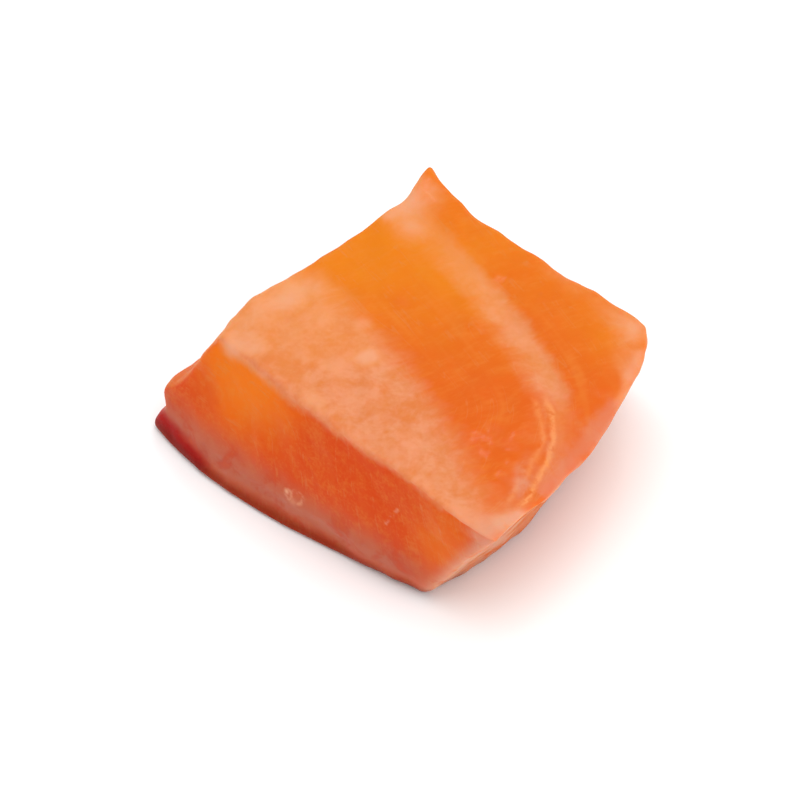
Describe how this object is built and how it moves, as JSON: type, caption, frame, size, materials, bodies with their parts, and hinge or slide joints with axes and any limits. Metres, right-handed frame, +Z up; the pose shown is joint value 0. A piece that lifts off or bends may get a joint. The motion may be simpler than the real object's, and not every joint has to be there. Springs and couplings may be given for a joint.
{
  "type": "salmon chunk",
  "caption": "Raw salmon chunk: a slanted block of fillet with knife-cut faces, soft rounded edges and one drawn-out corner, lying on its flat underside.",
  "frame": {"origin": "middle of the chunk's box, on its flat underside", "axes": "+Z up, out of the cut top; +Y towards the drawn-out back corner; +X towards the full right side"},
  "size_m": [0.0364, 0.0356, 0.0142],
  "materials": {
    "flesh": "wet raw salmon flesh, orange with soft pale bands of fat"
  },
  "bodies": {
    "root": {"salmon_chunk": "flesh"}
  },
  "joints": []
}
